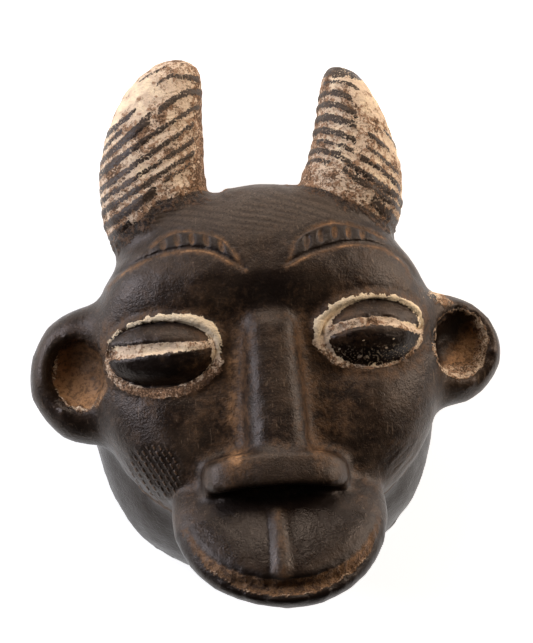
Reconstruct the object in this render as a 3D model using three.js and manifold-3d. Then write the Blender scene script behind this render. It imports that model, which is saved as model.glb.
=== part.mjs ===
// A miniature horned face mask, carved from one block of wood and hollowed from behind.
// It lies on its back: the flat rim is at z = 0, the face looks up along +Z, the horns point
// along +Y and the chin along -Y. All sizes are in millimetres.
import * as THREE from "three";
import { mergeVertices } from "three/addons/utils/BufferGeometryUtils.js";
import { ConvexGeometry } from "three/addons/geometries/ConvexGeometry.js";
import Module from "manifold-3d";

const wasm = await Module();
wasm.setup();

// The head behind the face: a hollow dome whose jaw flares out into a collar at the rim.
const SHELL = {
  halfWidth: 51.8,
  crown: 49.5,
  crownRound: 2.1,
  crownFull: 3.2,
  jaw: 64,
  jawRound: 2.7,
  jawFull: 2.0,
  height: 48,
};
const HOLLOW = {
  halfWidth: 42.5,
  crown: 41,
  crownRound: 2.2,
  crownFull: 2.6,
  jaw: 53,
  jawRound: 2.6,
  jawFull: 2.2,
  height: 37,
};
const CHIN = { x: -1, y: -43, z: 33, halfWidth: 27, halfHeight: 19, halfDepth: 27 };

// The rounded mass of the face, and the swellings (+) and hollows (-) carved on its front:
// place of the middle, half width and half height of the spread, height.
const FACE = { radius: 52.3, widest: 27, bulge: 24.5, back: 16, round: 2.5, full: 2.3 };
const RELIEF = [
  { x: 0, y: 22, w: 32, h: 6.5, rise: 2.2 },
  { x: 0, y: 16, w: 9, h: 6, rise: -2.4 },
  { x: -29, y: 3.5, w: 17, h: 10, rise: -4.6 },
  { x: 28.5, y: 5.5, w: 17, h: 10, rise: -4.6 },
  { x: -30, y: -22, w: 15, h: 11, rise: 3.4 },
  { x: 30, y: -21, w: 15, h: 11, rise: 3.4 },
  { x: -15, y: -14, w: 8, h: 15, rise: -3.0 },
  { x: 15, y: -14, w: 8, h: 15, rise: -3.0 },
  { x: 0, y: -46, w: 24, h: 12, rise: 13 },
];

const EYES = [
  { x: -30.4, y: 4.0, halfWidth: 15.6, halfHeight: 9.6, turn: 2, rise: 1.6, arch: 0.2, slit: [4.0, 3.3, 1.8] },
  { x: 29.6, y: 6.8, halfWidth: 14.6, halfHeight: 9.8, turn: -1, rise: 1.6, arch: 1.8, slit: [2.6, 2.8, 2.4] },
];
const EYE = { floor: 41.4, swell: 8.6, lean: 0.42, slitDepth: 1.7, ringWidth: 1.6, ringDepth: 1.0 };

const BROW = { lineWidth: 1.5, lineDepth: 0.9, pitWidth: 2.2, pitPitch: 4.1, pits: 5, clear: 1.0, lowest: 28 };
const BROWS = [
  {
    lower: [[-52, 19], [-43.4, 26.8], [-36.9, 30.7], [-29.6, 33.2], [-21, 34.1], [-13.9, 32.6], [-6, 27.4]],
    upper: [[-32, 35.6], [-27, 38.6], [-22, 39.4], [-15, 38.2], [-10, 34.8], [-6, 27.4]],
    firstPit: -28.4,
  },
  {
    lower: [[50.5, 16], [44, 22.4], [41.9, 26.3], [36.4, 30.9], [29.3, 33], [22.1, 32.9], [13.3, 31], [6.2, 28]],
    upper: [[36, 34], [29.5, 37.4], [22.4, 39.3], [15.2, 38.4], [9.2, 34.9], [6.2, 28]],
    firstPit: 12.6,
  },
];

const NOSE = { x: 0.4, top: 15.3, bottom: -27, frontTop: 52, frontBottom: 63, ridge: 9.6, base: 17.4, foot: 38 };
const NOSE_BAR = {
  x: -1.0,
  halfWidth: 20.6,
  top: -24.2,
  bottom: -34.4,
  endDrop: 3.4,
  lowDrop: 2.2,
  endSize: 0.68,
  back: 44,
  front: 67.5,
  lean: 0.3,
  bend: 4,
  corner: 0.25,
};

const MUZZLE = { x: 0, y: -43.4, z: 49.4, halfWidth: 31, reach: 33.2, halfThick: 11, full: 2.2, lean: 44 };
const MOUTH = { depth: 7.5, cornerDepth: 1.2, gap: 4.2, cornerGap: 1.6, rise: 3.6, cornerSine: 0.24 };
const PHILTRUM = { x: -1.5, topWidth: 2.4, footWidth: 3.8, rise: 1.3, from: -41, to: -58 };

const EARS = [
  { x: -48.3, y: -1, radiusX: 21, radiusY: 21.2, bowlX: -54.8, bowlY: -0.2, bowlRx: 9.4, bowlRy: 11 },
  { x: 50.3, y: 0.3, radiusX: 19.3, radiusY: 17.4, bowlX: 57.0, bowlY: 2.2, bowlRx: 9.4, bowlRy: 10.8 },
];
const EAR = { middle: 24, halfThick: 9.5, full: 2.6, bowlDepth: 9.5, lean: 8 };

// Matching points down the outer and the inner side of each horn; the ribs join each pair.
const HORNS = [
  {
    outer: [[-42, 31], [-44.6, 40], [-45.8, 48], [-45.5, 56], [-43.9, 64], [-41, 72], [-34, 82.6], [-25, 89.4]],
    inner: [[-11, 46], [-14, 56.5], [-14, 64.5], [-14, 72], [-14, 79], [-14, 84.5], [-15.6, 87.8], [-18.5, 89.3]],
    lean: 9,
  },
  {
    outer: [[39.5, 32], [42.8, 41.5], [43.8, 49], [43.3, 56], [41.4, 63.5], [38.4, 71.8], [34, 79.7], [29, 85]],
    inner: [[9, 46], [15.2, 57.2], [17.6, 64], [19.3, 70.5], [20.8, 76.5], [22, 81], [23.4, 84], [26, 85.6]],
    lean: 13,
  },
];
const HORN = { baseZ: 24, tipZ: 16, baseThick: 12.5, tipThick: 5, ribPitch: 4, ribRise: 0.65 };
const HORN_SIDES = 10;

// Cutters that come down on the face start this high, above everything.
const OVERHEAD = 90;
const SHORTEST_EDGE = 0.25;
// A coordinate smaller than this is a rounding error of zero.
const ALMOST_NOTHING = 1e-6;

// Makes a closed solid of a three.js geometry.
function solid(geometry) {
  const bare = geometry.clone();
  bare.deleteAttribute("normal");
  bare.deleteAttribute("uv");
  const merged = mergeVertices(bare, 1e-4);
  const vertProperties = new Float32Array(merged.attributes.position.array);
  const triVerts = new Uint32Array(merged.index.array);
  return new wasm.Manifold(new wasm.Mesh({ numProp: 3, vertProperties, triVerts }));
}

function geometryOf(manifold) {
  const mesh = manifold.getMesh();
  const geometry = new THREE.BufferGeometry();
  geometry.setAttribute("position", new THREE.BufferAttribute(mesh.vertProperties, 3));
  geometry.setIndex(new THREE.BufferAttribute(mesh.triVerts, 1));
  return geometry;
}

// Shrinks every edge shorter than the limit to a point, which clears the hair-thin triangles that
// cuts leave behind. An edge stays where shrinking it would fold the surface.
function heal(geometry, shortest) {
  const points = [];
  const position = geometry.attributes.position;
  for (let i = 0; i < position.count; i++) points.push(new THREE.Vector3().fromBufferAttribute(position, i));
  const faces = [];
  const around = points.map(() => new Set());
  for (let i = 0; i < geometry.index.count; i += 3) {
    const face = [0, 1, 2].map((k) => geometry.index.getX(i + k));
    face.forEach((v) => around[v].add(faces.length));
    faces.push(face);
  }
  const normal = (face) => {
    const [a, b, c] = face.map((v) => points[v]);
    return new THREE.Vector3().crossVectors(b.clone().sub(a), c.clone().sub(a));
  };
  const neighbours = (v) => new Set([...around[v]].flatMap((f) => faces[f]).filter((w) => w !== v));
  const shrink = (keep, drop) => {
    const near = neighbours(drop);
    if ([...neighbours(keep)].filter((v) => near.has(v)).length !== 2) return false;
    const shared = [...around[drop]].filter((f) => faces[f].includes(keep));
    const turned = [...around[drop]].filter((f) => !faces[f].includes(keep));
    const renamed = turned.map((f) => faces[f].map((v) => (v === drop ? keep : v)));
    const folds = renamed.some((face, i) => {
      const before = normal(faces[turned[i]]);
      const after = normal(face);
      return before.length() > 1e-3 && after.dot(before) < 0.2 * after.length() * before.length();
    });
    if (folds) return false;
    for (const f of shared) {
      faces[f].forEach((v) => around[v].delete(f));
      faces[f] = null;
    }
    turned.forEach((f, i) => {
      faces[f] = renamed[i];
      around[keep].add(f);
    });
    around[drop].clear();
    return true;
  };
  for (let pass = 0; pass < 4; pass++) {
    for (let f = 0; f < faces.length; f++) {
      for (let k = 0; faces[f] && k < 3; k++) {
        const a = faces[f][k];
        const b = faces[f][(k + 1) % 3];
        if (points[a].distanceTo(points[b]) < shortest && (shrink(a, b) || shrink(b, a))) break;
      }
    }
  }
  const healed = new THREE.BufferGeometry().setFromPoints(points);
  healed.setIndex(faces.filter(Boolean).flat());
  return mergeVertices(healed.toNonIndexed(), 1e-4);
}

const moved = (manifold, matrix) => solid(geometryOf(manifold).applyMatrix4(matrix));
const radians = (degrees) => THREE.MathUtils.degToRad(degrees);
const mix = THREE.MathUtils.lerp;

// Puts every vertex of a geometry where move(point) says.
function reshape(geometry, move) {
  const position = geometry.attributes.position;
  const point = new THREE.Vector3();
  for (let i = 0; i < position.count; i++) {
    const placed = move(point.fromBufferAttribute(position, i));
    position.setXYZ(i, placed.x, placed.y, placed.z);
  }
  return geometry;
}

// A ball with its poles on the Z axis; full above 2 makes it squarer from pole to edge.
function ball(rx, ry, rz, segments, rings, full = 2) {
  const sphere = new THREE.SphereGeometry(1, segments, rings);
  sphere.rotateX(Math.PI / 2);
  return reshape(sphere, (p) => {
    const reach = Math.hypot(p.x, p.y);
    const spread = reach < 1e-6 ? 0 : Math.pow(reach, 2 / full) / reach;
    const z = Math.sign(p.z) * Math.pow(Math.abs(p.z), 2 / full);
    return new THREE.Vector3(p.x * spread * rx, p.y * spread * ry, z * rz);
  });
}

// The radius of a rounded oval in the direction of a unit vector.
function ovalRadius(cos, sin, halfWidth, halfHeight, round) {
  const across = Math.pow(Math.abs(cos) / halfWidth, round);
  const along = Math.pow(Math.abs(sin) / halfHeight, round);
  return Math.pow(across + along, -1 / round);
}

// A dome on the plane z = 0, with one oval above the ears and another, for the jaw, below.
function dome(size, segments, rings) {
  const profile = [new THREE.Vector2(0, 0)];
  for (let i = 0; i < rings; i++) {
    const a = ((i / rings) * Math.PI) / 2;
    profile.push(new THREE.Vector2(Math.cos(a), Math.sin(a)));
  }
  profile.push(new THREE.Vector2(0, 1));
  const lathe = new THREE.LatheGeometry(profile, segments);
  lathe.rotateX(Math.PI / 2);
  return reshape(lathe, (p) => {
    const reach = Math.hypot(p.x, p.y);
    if (reach < 1e-6) return new THREE.Vector3(0, 0, p.z > 0.5 ? size.height : 0);
    const cos = p.x / reach;
    const sin = p.y / reach;
    const radius =
      sin < 0
        ? ovalRadius(cos, sin, size.halfWidth, size.jaw, size.jawRound)
        : ovalRadius(cos, sin, size.halfWidth, size.crown, size.crownRound);
    const jaw = THREE.MathUtils.smoothstep(-sin, 0, 0.6);
    const power = 2 / mix(size.crownFull, size.jawFull, jaw);
    const r = radius * Math.pow(reach, power);
    return new THREE.Vector3(r * cos, r * sin, size.height * Math.pow(Math.max(p.z, 0), power));
  });
}

// How far the carved swellings and hollows lift the front of the face at a place.
function relief(x, y) {
  let height = 0;
  for (const bump of RELIEF) {
    const u = (x - bump.x) / bump.w;
    const v = (y - bump.y) / bump.h;
    height += bump.rise * Math.exp(-0.5 * (u * u + v * v));
  }
  return height;
}

// The face, optionally grown by a small amount all over for cutting shallow lines into it.
function face(grow) {
  const sphere = new THREE.SphereGeometry(1, 50, 22);
  sphere.rotateX(Math.PI / 2);
  return solid(
    reshape(sphere, (p) => {
      const reach = Math.hypot(p.x, p.y);
      const spread = reach < 1e-6 ? 0 : Math.pow(reach, 2 / FACE.round) / reach;
      const x = p.x * spread * (FACE.radius + grow);
      const y = p.y * spread * (FACE.radius + grow);
      if (p.z <= 1e-6) return new THREE.Vector3(x, y, FACE.widest + (FACE.back + grow) * p.z);
      const front = (FACE.bulge + grow) * Math.pow(p.z, 2 / FACE.full);
      const fade = THREE.MathUtils.smoothstep(p.z, 0, 0.45);
      return new THREE.Vector3(x, y, FACE.widest + front + relief(x, y) * fade);
    }),
  );
}

function head(grow) {
  const size = { ...SHELL };
  for (const key of ["halfWidth", "crown", "jaw", "height"]) size[key] += grow;
  return solid(dome(size, 50, 8)).add(face(grow));
}

function plate(points, from, to) {
  const shape = new THREE.Shape(points);
  const geometry = new THREE.ExtrudeGeometry(shape, { depth: to - from, bevelEnabled: false });
  geometry.translate(0, 0, from);
  return solid(geometry);
}

// An upright band of even width along a curve, narrowing at its ends.
function band(curve, width, steps) {
  const left = [];
  const right = [];
  for (let i = 0; i <= steps; i++) {
    const t = i / steps;
    const at = curve.getPoint(t);
    const along = curve.getTangent(t);
    const half = (width / 2) * Math.min(1, 0.25 + 6 * Math.min(t, 1 - t));
    left.push(new THREE.Vector2(at.x - along.y * half, at.y + along.x * half));
    right.unshift(new THREE.Vector2(at.x + along.y * half, at.y - along.x * half));
  }
  return plate([...left, ...right], BROW.lowest, OVERHEAD);
}

// The lines of one brow and the row of oval pits between them, as an upright cutter.
function browLines(brow) {
  const line = (points) => new THREE.SplineCurve(points.map(([x, y]) => new THREE.Vector2(x, y)));
  const lower = line(brow.lower);
  const upper = line(brow.upper);
  const heightAt = (curve, x) =>
    curve.getPoints(80).reduce((best, p) => (Math.abs(p.x - x) < Math.abs(best.x - x) ? p : best)).y;
  let cut = band(lower, BROW.lineWidth, 12).add(band(upper, BROW.lineWidth, 9));
  for (let i = 0; i < BROW.pits; i++) {
    const x = brow.firstPit + i * BROW.pitPitch;
    const low = heightAt(lower, x) + BROW.clear;
    const high = heightAt(upper, x) - BROW.clear;
    const pit = new THREE.CylinderGeometry(1, 1, OVERHEAD, 8, 1);
    pit.rotateX(Math.PI / 2);
    pit.scale(BROW.pitWidth / 2, (high - low) / 2, 1);
    pit.translate(x, (low + high) / 2, OVERHEAD / 2 + BROW.lowest);
    cut = cut.add(solid(pit));
  }
  return cut;
}

function eyeMatrix(eye) {
  const out = Math.atan2(eye.x * EYE.lean, 45);
  return new THREE.Matrix4()
    .makeTranslation(eye.x, eye.y, EYE.floor)
    .multiply(new THREE.Matrix4().makeRotationY(out))
    .multiply(new THREE.Matrix4().makeRotationZ(radians(eye.turn)));
}

// The groove round an eye, as an upright oval cutter.
function eyeRing(eye) {
  const w = eye.halfWidth + EYE.ringWidth;
  const h = eye.halfHeight + EYE.ringWidth;
  const post = new THREE.CylinderGeometry(1, 1, 60, 28, 1);
  post.rotateX(Math.PI / 2);
  post.scale(w, h, 1);
  post.rotateZ(radians(eye.turn));
  post.translate(eye.x, eye.y, 45);
  return solid(post);
}

// One eye: a bean split along its length by a slit of even depth between its two lids.
function bean(eye) {
  const [left, centre, right] = eye.slit;
  const edge = (side) =>
    [-1, -0.75, -0.5, -0.25, 0, 0.25, 0.5, 0.75, 1].map((t) => {
      const width = centre + ((right - left) * t) / 2 + ((left + right) / 2 - centre) * t * t;
      const y = eye.rise + eye.arch * (1 - 2 * t * t) + (side * width) / 2;
      return new THREE.Vector2(t * (eye.halfWidth + 1), y);
    });
  const lids = solid(ball(eye.halfWidth, eye.halfHeight, EYE.swell, 26, 12, 2.2));
  const floor = [eye.halfWidth, eye.halfHeight, EYE.swell].map((size) => size - EYE.slitDepth);
  const slit = plate([...edge(-1), ...edge(1).reverse()], 0, EYE.swell + 3);
  return moved(lids.subtract(slit.subtract(solid(ball(...floor, 18, 8, 2.2)))), eyeMatrix(eye));
}

// The straight ridge of the nose: a flat front between two sloping flanks, rounded at the top.
function nose() {
  const corners = [];
  const section = (y, front, narrow) => {
    for (const s of [-1, 1]) {
      corners.push(new THREE.Vector3(NOSE.x + (s * NOSE.base * narrow) / 2, y, NOSE.foot));
      corners.push(new THREE.Vector3(NOSE.x + (s * NOSE.base * narrow) / 2, y, front - 7));
      corners.push(new THREE.Vector3(NOSE.x + s * NOSE.base * narrow * 0.42, y, front - 2.6));
      corners.push(new THREE.Vector3(NOSE.x + s * NOSE.ridge * narrow * 0.5, y, front - 0.5));
      corners.push(new THREE.Vector3(NOSE.x + s * NOSE.ridge * narrow * 0.28, y, front));
    }
  };
  section(NOSE.top, NOSE.frontTop - 4, 0.62);
  section(NOSE.top - 1.2, NOSE.frontTop - 1.4, 0.86);
  section(NOSE.top - 3.4, NOSE.frontTop + 0.3, 0.97);
  section(NOSE.bottom, NOSE.frontBottom, 1.04);
  return solid(new ConvexGeometry(corners));
}

// The wide bar across the tip of the nose: arched, more so above, with its front leaning forward.
function noseBar() {
  const { halfWidth, top, bottom, endDrop, lowDrop, endSize, back, front, lean, bend, corner } = NOSE_BAR;
  const post = new THREE.CylinderGeometry(1, 1, 2, 16, 14);
  post.rotateZ(Math.PI / 2);
  const square = (value, power) => {
    const size = Math.abs(value);
    return size < ALMOST_NOTHING ? 0 : Math.sign(value) * Math.pow(size, power);
  };
  return solid(
    reshape(post, (p) => {
      const t = square(p.x, 0.8);
      const closing = mix(1, endSize, Math.pow(Math.abs(t), 12));
      const high = top - endDrop * t * t;
      const low = bottom - lowDrop * t * t;
      const y = (high + low) / 2 + ((high - low) / 2) * square(p.y, corner) * closing;
      const deep = (front - back) / 2;
      const z = front - deep - bend * t * t + deep * square(p.z, corner) * closing + (bottom - y) * lean;
      return new THREE.Vector3(NOSE_BAR.x + t * halfWidth, y, z);
    }),
  );
}

// The muzzle is a thick flat oval that juts forward and down; the mouth is a groove round its
// front edge, deepest in the middle.
function muzzle() {
  const { halfWidth, reach, halfThick, full } = MUZZLE;
  const stance = new THREE.Matrix4()
    .makeTranslation(MUZZLE.x, MUZZLE.y, MUZZLE.z)
    .multiply(new THREE.Matrix4().makeRotationX(radians(-MUZZLE.lean)));
  const body = solid(ball(halfWidth, reach, halfThick, 36, 16, full));
  const profile = [
    new THREE.Vector2(0, -0.5),
    new THREE.Vector2(2, -1),
    new THREE.Vector2(2, 1),
    new THREE.Vector2(0, 0.5),
    new THREE.Vector2(0, -0.5),
  ].map((p) => new THREE.Vector2(p.x + 10, p.y));
  const ring = new THREE.LatheGeometry(profile, 36);
  ring.rotateX(Math.PI / 2);
  const mouth = reshape(ring, (p) => {
    const out = Math.hypot(p.x, p.y) - 10;
    const cos = p.x / (out + 10);
    const sin = p.y / (out + 10);
    const fromCorner = Math.max(0, (-sin - MOUTH.cornerSine) / (1 - MOUTH.cornerSine));
    const depth = mix(MOUTH.cornerDepth, MOUTH.depth, Math.pow(fromCorner, 0.6));
    const away = out > 1 ? 4 : -depth;
    const gap = mix(MOUTH.cornerGap, MOUTH.gap, Math.sqrt(fromCorner));
    const z = (p.z * gap) / 2 + MOUTH.rise;
    return new THREE.Vector3((halfWidth + away) * cos, (reach + away) * sin, z);
  });
  const behind = new THREE.BoxGeometry(120, 60, 40).translate(0, 30 - reach * MOUTH.cornerSine, 0);
  const lips = body.subtract(solid(mouth).subtract(solid(behind)));
  return moved(lips, stance).add(philtrum(stance)).add(chin());
}

function chin() {
  const body = solid(ball(CHIN.halfWidth, CHIN.halfHeight, CHIN.halfDepth, 28, 12, 2.3));
  return body.translate([CHIN.x, CHIN.y, CHIN.z]);
}

// The thin ridge down the middle of the upper lip follows the curve of the lip.
function philtrum(stance) {
  const { halfWidth, reach, halfThick, full } = MUZZLE;
  const over = solid(ball(halfWidth, reach, halfThick + PHILTRUM.rise, 36, 16, full));
  const { x, topWidth, footWidth, from, to } = PHILTRUM;
  const strip = [
    new THREE.Vector2(x - topWidth / 2, from),
    new THREE.Vector2(x - footWidth / 2, to),
    new THREE.Vector2(x, to - footWidth / 2),
    new THREE.Vector2(x + footWidth / 2, to),
    new THREE.Vector2(x + topWidth / 2, from),
  ];
  return moved(over, stance).intersect(plate(strip, 58, 95));
}

function earMatrix(ear, height) {
  return new THREE.Matrix4()
    .makeTranslation(ear.x, ear.y, EAR.middle)
    .multiply(new THREE.Matrix4().makeRotationY(radians(EAR.lean * Math.sign(ear.x))))
    .multiply(new THREE.Matrix4().makeTranslation(0, 0, height));
}

function ear(size) {
  const disc = solid(ball(size.radiusX, size.radiusY, EAR.halfThick, 24, 10, EAR.full));
  return moved(disc, earMatrix(size, 0));
}

function earBowl(size) {
  const bowl = solid(ball(size.bowlRx, size.bowlRy, EAR.bowlDepth, 18, 10));
  const shift = new THREE.Matrix4().makeTranslation(size.bowlX - size.x, size.bowlY - size.y, 0);
  return moved(bowl, earMatrix(size, EAR.halfThick).multiply(shift));
}

// A horn is a stack of oval slices from its root to its tip, every rib standing proud of the
// grooves beside it. Leaning the slices back bows the ribs as they cross the front.
function horn(size) {
  const line = (list) => new THREE.CatmullRomCurve3(list.map(([x, y]) => new THREE.Vector3(x, y, 0)));
  const outer = line(size.outer);
  const inner = line(size.inner);
  const ribs = Math.round((outer.getLength() + inner.getLength()) / 2 / HORN.ribPitch);
  const slices = ribs * 3;
  const post = new THREE.CylinderGeometry(1, 1, 1, HORN_SIDES, slices);
  post.rotateY(Math.PI / HORN_SIDES);
  const toward = Math.sign(size.outer[0][0]);
  return solid(
    reshape(post, (p) => {
      const t = p.y + 0.5;
      const slice = Math.round(t * slices);
      const onRib = slice % 3 !== 0;
      const rise = onRib ? HORN.ribRise : 0;
      const out = outer.getPoint(t);
      const across = out.clone().sub(inner.getPoint(t)).multiplyScalar(0.5);
      const middle = out.sub(across);
      const closing = Math.sqrt(Math.max(1 - Math.pow(t, 14), 0.02));
      const thick = mix(HORN.baseThick, HORN.tipThick, t * t) * closing;
      const reach = across.length();
      const depth = p.z * (thick + rise);
      const place = middle.addScaledVector(across, p.x * toward * (1 + (rise - HORN.ribRise) / reach));
      place.y += depth * Math.tan(radians(size.lean));
      place.z = mix(HORN.baseZ, HORN.tipZ, t) + depth;
      return place;
    }),
  );
}

function mask() {
  let cutters = browLines(BROWS[0]).add(browLines(BROWS[1])).subtract(head(-BROW.lineDepth));
  for (const eye of EYES) cutters = cutters.add(eyeRing(eye).subtract(face(-EYE.ringDepth)));
  let wood = head(0).subtract(cutters);
  for (const eye of EYES) wood = wood.add(bean(eye));
  wood = wood.add(nose()).add(noseBar()).add(muzzle());
  for (const size of EARS) wood = wood.add(ear(size)).subtract(earBowl(size));
  for (const size of HORNS) wood = wood.add(horn(size));
  const floor = solid(new THREE.BoxGeometry(200, 240, 40).translate(0, 0, -20));
  return wood.subtract(floor).subtract(solid(dome(HOLLOW, 32, 7)).translate([0, 0, -0.5]));
}

const material = new THREE.MeshStandardMaterial({ color: 0x3a2f29, roughness: 0.55, metalness: 0 });
const carved = new THREE.Mesh(heal(geometryOf(mask()), SHORTEST_EDGE), material);
carved.name = "mask";

// The origin is the middle of the footprint.
const middle = new THREE.Box3().setFromObject(carved).getCenter(new THREE.Vector3());
carved.geometry.translate(-middle.x, -middle.y, 0);

const group = new THREE.Group();
group.add(carved);
export default group;
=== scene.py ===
"""A miniature horned mask, carved in one piece of wood, lying on its back on a plain white floor.

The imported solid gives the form. This script gives it the surface that a knife, pale pigment, dust
and long handling have left on it. Places on the carving are in millimetres from the middle of the
face, with +X to the right of a viewer, +Y towards the horns and +Z out of the face.
"""
import math

import bpy
import numpy as np
from bpy.props import FloatProperty, FloatVectorProperty, PointerProperty
from bpy.types import Operator, Panel, PropertyGroup
from mathutils import Matrix, Vector, noise


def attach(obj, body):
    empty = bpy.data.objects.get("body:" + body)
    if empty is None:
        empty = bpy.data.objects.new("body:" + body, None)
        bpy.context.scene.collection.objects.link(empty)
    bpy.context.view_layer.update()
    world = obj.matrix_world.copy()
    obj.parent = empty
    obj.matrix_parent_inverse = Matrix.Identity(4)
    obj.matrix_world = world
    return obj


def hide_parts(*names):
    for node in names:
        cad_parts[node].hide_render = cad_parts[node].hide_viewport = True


bl_info = {
    "name": "Miniature Horned Mask",
    "version": (1, 0, 0),
    "blender": (4, 5, 0),
    "location": "View3D > Sidebar > Mask",
    "description": "Carves a small wooden mask and finishes it with pigment and dust",
    "category": "Add Mesh",
}

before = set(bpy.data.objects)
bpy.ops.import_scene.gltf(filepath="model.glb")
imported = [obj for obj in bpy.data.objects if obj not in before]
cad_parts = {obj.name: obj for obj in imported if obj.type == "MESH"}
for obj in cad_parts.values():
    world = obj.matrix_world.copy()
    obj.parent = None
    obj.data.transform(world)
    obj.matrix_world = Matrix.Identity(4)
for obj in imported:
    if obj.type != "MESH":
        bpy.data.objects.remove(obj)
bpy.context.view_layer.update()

MM = 0.001
# Where the middle of the face lies from the middle of the footprint.
FACE_MIDDLE = np.array([-0.16, -10.33, 0.0])

# Outer and inner side of each horn from root to tip; ribs counts the ribs between them. foot is the
# edge of the pale pigment at the root, and crust the depth of the dark crust below it. side is 1
# for a horn on the left, and lean the angle in degrees at which its ribs run back. Each bar is a
# rib rubbed bare: its rib number at the start, the middle and the end, where it starts and ends
# across the horn (outer side 0, inner side 1), and its width in mm at the start and the end.
LEFT_HORN = {
    "outer": [
        (-42, 31), (-44.6, 40), (-45.8, 48), (-45.5, 56), (-43.9, 64), (-41, 72), (-34, 82.6),
        (-25, 89.4),
    ],
    "inner": [
        (-11, 46), (-14, 56.5), (-14, 64.5), (-14, 72), (-14, 79), (-14, 84.5), (-15.6, 87.8),
        (-18.5, 89.3),
    ],
    "foot": [
        (-42, 38.0), (-38, 41.0), (-34.5, 43.3), (-31.4, 45.9), (-29.5, 48.1), (-25.4, 48.7),
        (-15, 51.3),
    ],
    "ribs": 14,
    "side": 1,
    "lean": 9,
    "crust": 3.6,
    "bars": (
        (1.5, 1.45, 1.4, 0.0, 0.22, 1.6, 1.2),
        (2.35, 2.2, 2.3, 0.0, 0.5, 1.5, 2.5),
        (3.35, 3.1, 3.6, 0.0, 0.88, 1.7, 1.1),
        (2.6, 2.7, 2.9, 0.6, 0.84, 0.9, 0.7),
        (4.2, 4.0, 4.5, 0.0, 0.88, 1.5, 1.1),
        (5.0, 5.0, 5.8, 0.0, 0.9, 1.8, 1.1),
        (6.1, 6.4, 7.1, 0.0, 0.95, 2.3, 1.1),
        (7.0, 7.35, 8.0, 0.0, 0.48, 1.6, 4.0),
        (7.9, 8.1, 8.35, 0.02, 0.2, 1.6, 1.2),
        (9.0, 9.1, 9.4, 0.03, 0.31, 2.4, 1.5),
        (8.1, 8.6, 8.35, 0.57, 0.97, 2.4, 2.2),
        (10.9, 11.0, 11.1, 0.5, 0.68, 1.0, 1.6),
        (11.0, 10.4, 9.8, 0.68, 0.94, 1.5, 2.4),
        (11.8, 12.1, 12.4, 0.2, 0.55, 0.7, 0.9),
    ),
}
RIGHT_HORN = {
    "outer": [
        (39.5, 32), (42.8, 41.5), (43.8, 49), (43.3, 56), (41.4, 63.5), (38.4, 71.8), (34, 79.7),
        (29, 85),
    ],
    "inner": [
        (9, 46), (15.2, 57.2), (17.6, 64), (19.3, 70.5), (20.8, 76.5), (22, 81), (23.4, 84),
        (26, 85.6),
    ],
    "foot": [
        (11.7, 50.8), (15.5, 50.5), (20.6, 48.3), (25.8, 45.3), (31.2, 42.6), (35.8, 39.8),
        (40, 37.2),
    ],
    "ribs": 13,
    "side": -1,
    "lean": 13,
    "crust": 2.0,
    "bars": (
        (9.3, 9.3, 8.9, 0.45, 0.93, 1.5, 1.1),
        (7.95, 7.95, 7.5, 0.6, 1.0, 2.5, 1.6),
        (6.6, 6.8, 6.45, 0.56, 1.0, 2.0, 1.8),
        (5.65, 5.6, 5.35, 0.56, 1.0, 2.4, 2.1),
        (4.4, 4.45, 4.35, 0.57, 1.0, 2.0, 1.6),
        (3.5, 3.55, 3.5, 0.58, 0.93, 1.1, 0.8),
        (2.75, 2.7, 2.65, 0.7, 1.0, 1.9, 1.3),
        (2.0, 2.0, 1.9, 0.78, 0.98, 0.6, 0.6),
        (2.3, 2.2, 2.6, 0.0, 0.68, 1.5, 1.2),
        (1.75, 1.7, 1.9, 0.0, 0.64, 1.2, 0.9),
        (3.0, 3.25, 3.35, 0.06, 0.5, 1.5, 1.3),
        (4.0, 4.2, 4.4, 0.1, 0.44, 0.9, 1.2),
        (5.3, 5.45, 5.6, 0.18, 0.42, 1.4, 1.0),
        (6.4, 6.6, 6.9, 0.0, 0.2, 1.0, 1.2),
        (1.0, 1.0, 1.1, 0.0, 0.3, 1.8, 1.5),
        (0.3, 0.3, 0.35, 0.0, 0.25, 1.4, 1.0),
    ),
}
# Height of a horn's middle at its root and at its tip.
HORN_MIDDLE_Z = (24, 16)
RIB_PITCH = 4.0
# The right horn's tip is bare wood above a line: its height at the horn's middle, and its slope.
BARE_TIP = {"x": 28.7, "y": 81.5, "slope": -0.2}

# Each eye: middle, half sizes, turn, and the slit between its lids. ring gives how far the pale
# pigment reaches round the lids, at every 45 degrees from the right, anticlockwise, and cover how
# far it comes over their edge.
LEFT_EYE = {
    "middle": (-30.4, 4.0), "half": (15.0, 9.6), "turn": 2.0,
    "slit": (4.0, 3.3, 1.8), "rise": 1.6, "arch": 0.2,
    "ring": (1.4, 3.4, 2.8, 0.9, 0.5, 2.5, 3.8, 2.8),
    "cover": (1.3, 1.2, 0.5, 0.1, 0.2, 0.3, 0.2, 0.8),
    "stain": 1.1,
}
RIGHT_EYE = {
    "middle": (29.6, 6.8), "half": (14.1, 9.8), "turn": -1.0,
    "slit": (2.6, 2.8, 2.4), "rise": 1.6, "arch": 1.8,
    "ring": (1.3, 1.7, 2.4, 2.3, 2.7, 1.7, 0.8, 0.9),
    "cover": (0.2, 0.3, 0.5, 1.8, 1.9, 0.9, 0.6, 0.6),
    "stain": 0.9,
}
# The lids' outline is a little fuller than an oval: this is its exponent, and an oval's is 2.
LID_FULLNESS = 2.2

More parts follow.
